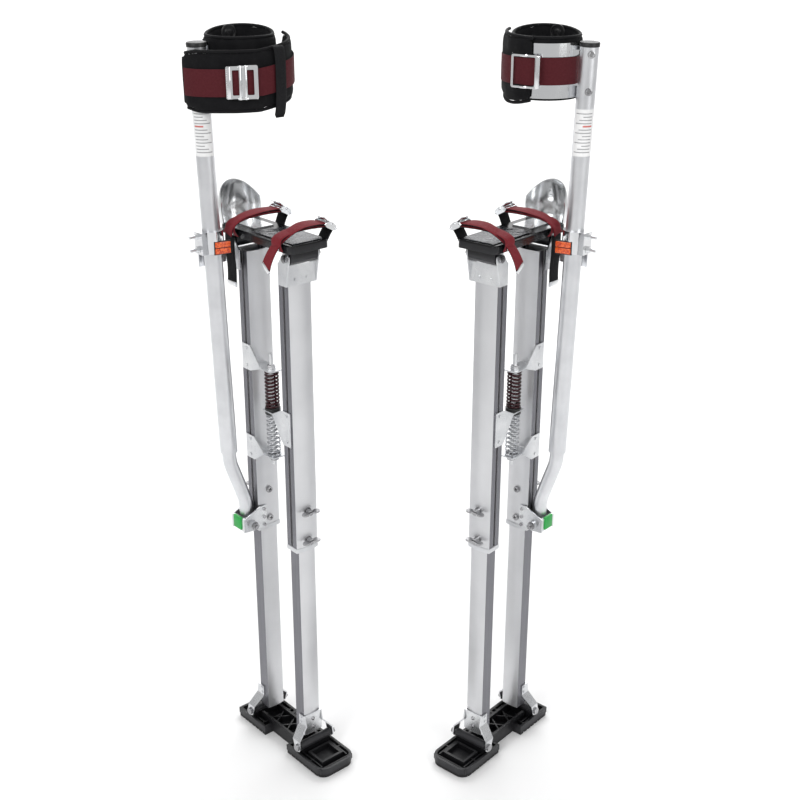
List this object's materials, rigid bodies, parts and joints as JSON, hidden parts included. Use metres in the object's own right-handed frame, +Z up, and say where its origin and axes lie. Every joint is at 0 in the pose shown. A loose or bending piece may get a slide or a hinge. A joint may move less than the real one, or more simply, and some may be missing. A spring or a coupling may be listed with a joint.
{
  "type": "drywall stilts",
  "caption": "Spring-braced telescopic work stilts with foot plates, heel cups, foot straps, padded calf bands and ribbed soles.",
  "frame": {"origin": "on the floor, under the centre of the pair", "axes": "+Z up, -Y towards the side that the toes point to, +X from the wearer's right stilt to the left one"},
  "size_m": [0.6802, 0.2512, 1.346],
  "materials": {
    "anodised": "matt silver anodised extrusion",
    "bracket_steel": "bright zinc plated sheet steel",
    "zinc_bolt": "zinc plated",
    "chrome": "polished chrome plating",
    "spring_steel": "spring wire",
    "sole_black": "satin black moulding",
    "black_plastic": "black nylon",
    "tread_rubber": "black rubber",
    "plate_black": "black painted casting",
    "strap_webbing": "burgundy woven webbing",
    "pad_fabric": "black padded fabric"
  },
  "bodies": {
    "right_sole_unit": {"right_sole_frame": "sole_black", "right_sole_tread": "tread_rubber", "right_ankle_bolts": "zinc_bolt"},
    "right_front_lower": {"right_front_lower_strut": "anodised", "right_front_ankle_bracket": "bracket_steel"},
    "right_rear_lower": {"right_rear_lower_strut": "anodised", "right_rear_ankle_bracket": "bracket_steel"},
    "right_front_upper": {"right_front_upper_strut": "anodised", "right_front_top_bracket": "bracket_steel", "right_middle_spring_bracket": "bracket_steel"},
    "right_rear_upper": {"right_rear_upper_strut": "anodised", "right_rear_top_bracket": "bracket_steel", "right_spring_rod": "bracket_steel", "right_sway_springs": "spring_steel", "right_leg_tube_bracket": "bracket_steel", "right_lower_leg_tube": "anodised", "right_tube_clamp": "chrome"},
    "right_seat": {"right_spring_seat": "black_plastic"},
    "right_calf_unit": {"right_upper_leg_tube": "anodised", "right_calf_plate": "chrome", "right_calf_pad": "pad_fabric", "right_calf_strap": "strap_webbing"},
    "right_foot_unit": {"right_footplate": "plate_black", "right_footplate_bolts": "zinc_bolt", "right_foot_straps": "strap_webbing"},
    "right_heel_unit": {"right_heel_cup": "chrome"},
    "right_front_lower_screw": {"right_front_lower_wing_screw": "zinc_bolt"},
    "right_front_upper_screw": {"right_front_upper_wing_screw": "zinc_bolt"},
    "right_rear_lower_screw": {"right_rear_lower_wing_screw": "zinc_bolt"},
    "right_rear_upper_screw": {"right_rear_upper_wing_screw": "zinc_bolt"},
    "left_sole_unit": {"left_sole_frame": "sole_black", "left_sole_tread": "tread_rubber", "left_ankle_bolts": "zinc_bolt"},
    "left_front_lower": {"left_front_lower_strut": "anodised", "left_front_ankle_bracket": "bracket_steel"},
    "left_rear_lower": {"left_rear_lower_strut": "anodised", "left_rear_ankle_bracket": "bracket_steel"},
    "left_front_upper": {"left_front_upper_strut": "anodised", "left_front_top_bracket": "bracket_steel", "left_middle_spring_bracket": "bracket_steel"},
    "left_rear_upper": {"left_rear_upper_strut": "anodised", "left_rear_top_bracket": "bracket_steel", "left_spring_rod": "bracket_steel", "left_sway_springs": "spring_steel", "left_leg_tube_bracket": "bracket_steel", "left_lower_leg_tube": "anodised", "left_tube_clamp": "chrome"},
    "left_seat": {"left_spring_seat": "black_plastic"},
    "left_calf_unit": {"left_upper_leg_tube": "anodised", "left_calf_plate": "chrome", "left_calf_pad": "pad_fabric", "left_calf_strap": "strap_webbing"},
    "left_foot_unit": {"left_footplate": "plate_black", "left_footplate_bolts": "zinc_bolt", "left_foot_straps": "strap_webbing"},
    "left_heel_unit": {"left_heel_cup": "chrome"},
    "left_front_lower_screw": {"left_front_lower_wing_screw": "zinc_bolt"},
    "left_front_upper_screw": {"left_front_upper_wing_screw": "zinc_bolt"},
    "left_rear_lower_screw": {"left_rear_lower_wing_screw": "zinc_bolt"},
    "left_rear_upper_screw": {"left_rear_upper_wing_screw": "zinc_bolt"}
  },
  "joints": [
    {"name": "right_sway", "type": "hinge", "parent": "right_sole_unit", "child": "right_front_lower", "pos_m": [-0.15275, -0.04883, 0.033], "axis": [0.7536, 0.6574, 0], "range_deg": [-9, 9], "stiffness_Nm_per_rad": 380},
    {"name": "right_rear_sway", "type": "hinge", "parent": "right_sole_unit", "child": "right_rear_lower", "pos_m": [-0.25465, 0.06797, 0.033], "axis": [0.7536, 0.6574, 0], "range_deg": [-9, 9]},
    {"name": "right_height", "type": "slide", "parent": "right_front_lower", "child": "right_front_upper", "axis": [0, 0, -1], "range_m": [0, 0.355]},
    {"name": "right_rear_height", "type": "slide", "parent": "right_rear_lower", "child": "right_rear_upper", "axis": [0, 0, -1], "range_m": [0, 0.355]},
    {"name": "right_plate_level", "type": "hinge", "parent": "right_front_upper", "child": "right_foot_unit", "pos_m": [-0.15275, -0.04883, 1.003], "axis": [0.7536, 0.6574, 0], "range_deg": [-9, 9]},
    {"name": "right_heel_adjust", "type": "slide", "parent": "right_foot_unit", "child": "right_heel_unit", "axis": [-0.6574, 0.7536, 0], "range_m": [-0.012, 0.02]},
    {"name": "right_spring_travel", "type": "slide", "parent": "right_rear_upper", "child": "right_seat", "axis": [0, 0, 1], "range_m": [-0.0246, 0.0246], "deforming": ["right_sway_springs"]},
    {"name": "right_tube_reach", "type": "slide", "parent": "right_rear_upper", "child": "right_calf_unit", "axis": [-0.0211, -0.0184, 0.9996], "range_m": [0, 0.06]},
    {"name": "right_front_lower_screw_turn", "type": "hinge", "parent": "right_front_upper", "child": "right_front_lower_screw", "pos_m": [-0.15404, -0.04736, 0.471], "axis": [0.6574, -0.7536, 0], "continuous": true},
    {"name": "right_front_upper_screw_turn", "type": "hinge", "parent": "right_front_upper", "child": "right_front_upper_screw", "pos_m": [-0.15404, -0.04736, 0.529], "axis": [0.6574, -0.7536, 0], "continuous": true},
    {"name": "right_rear_lower_screw_turn", "type": "hinge", "parent": "right_rear_upper", "child": "right_rear_lower_screw", "pos_m": [-0.25337, 0.0665, 0.471], "axis": [-0.6574, 0.7536, 0], "continuous": true},
    {"name": "right_rear_upper_screw_turn", "type": "hinge", "parent": "right_rear_upper", "child": "right_rear_upper_screw", "pos_m": [-0.25337, 0.0665, 0.529], "axis": [-0.6574, 0.7536, 0], "continuous": true},
    {"name": "left_sway", "type": "hinge", "parent": "left_sole_unit", "child": "left_front_lower", "pos_m": [0.15275, -0.04883, 0.033], "axis": [0.7536, -0.6574, 0], "range_deg": [-9, 9], "stiffness_Nm_per_rad": 380},
    {"name": "left_rear_sway", "type": "hinge", "parent": "left_sole_unit", "child": "left_rear_lower", "pos_m": [0.25465, 0.06797, 0.033], "axis": [0.7536, -0.6574, 0], "range_deg": [-9, 9]},
    {"name": "left_height", "type": "slide", "parent": "left_front_lower", "child": "left_front_upper", "axis": [0, 0, -1], "range_m": [0, 0.355]},
    {"name": "left_rear_height", "type": "slide", "parent": "left_rear_lower", "child": "left_rear_upper", "axis": [0, 0, -1], "range_m": [0, 0.355]},
    {"name": "left_plate_level", "type": "hinge", "parent": "left_front_upper", "child": "left_foot_unit", "pos_m": [0.15275, -0.04883, 1.003], "axis": [0.7536, -0.6574, 0], "range_deg": [-9, 9]},
    {"name": "left_heel_adjust", "type": "slide", "parent": "left_foot_unit", "child": "left_heel_unit", "axis": [0.6574, 0.7536, 0], "range_m": [-0.012, 0.02]},
    {"name": "left_spring_travel", "type": "slide", "parent": "left_rear_upper", "child": "left_seat", "axis": [0, 0, 1], "range_m": [-0.0246, 0.0246], "deforming": ["left_sway_springs"]},
    {"name": "left_tube_reach", "type": "slide", "parent": "left_rear_upper", "child": "left_calf_unit", "axis": [0.0211, -0.0184, 0.9996], "range_m": [0, 0.06]},
    {"name": "left_front_lower_screw_turn", "type": "hinge", "parent": "left_front_upper", "child": "left_front_lower_screw", "pos_m": [0.15404, -0.04736, 0.471], "axis": [0.6574, 0.7536, 0], "continuous": true},
    {"name": "left_front_upper_screw_turn", "type": "hinge", "parent": "left_front_upper", "child": "left_front_upper_screw", "pos_m": [0.15404, -0.04736, 0.529], "axis": [0.6574, 0.7536, 0], "continuous": true},
    {"name": "left_rear_lower_screw_turn", "type": "hinge", "parent": "left_rear_upper", "child": "left_rear_lower_screw", "pos_m": [0.25337, 0.0665, 0.471], "axis": [-0.6574, -0.7536, 0], "continuous": true},
    {"name": "left_rear_upper_screw_turn", "type": "hinge", "parent": "left_rear_upper", "child": "left_rear_upper_screw", "pos_m": [0.25337, 0.0665, 0.529], "axis": [-0.6574, -0.7536, 0], "continuous": true},
    {"name": "pair_gap", "type": "slide", "parent": "right_sole_unit", "child": "left_sole_unit", "axis": [1, 0, 0], "range_m": [0, 0.3]}
  ],
  "couplings": [
    {"joint": "right_rear_sway", "follows": "right_sway", "ratio": 1},
    {"joint": "right_rear_height", "follows": "right_height", "ratio": 1},
    {"joint": "right_plate_level", "follows": "right_sway", "ratio": -1},
    {"joint": "right_spring_travel", "follows": "right_sway", "m_per_rad": 0.155},
    {"joint": "left_rear_sway", "follows": "left_sway", "ratio": 1},
    {"joint": "left_rear_height", "follows": "left_height", "ratio": 1},
    {"joint": "left_plate_level", "follows": "left_sway", "ratio": -1},
    {"joint": "left_spring_travel", "follows": "left_sway", "m_per_rad": 0.155}
  ]
}
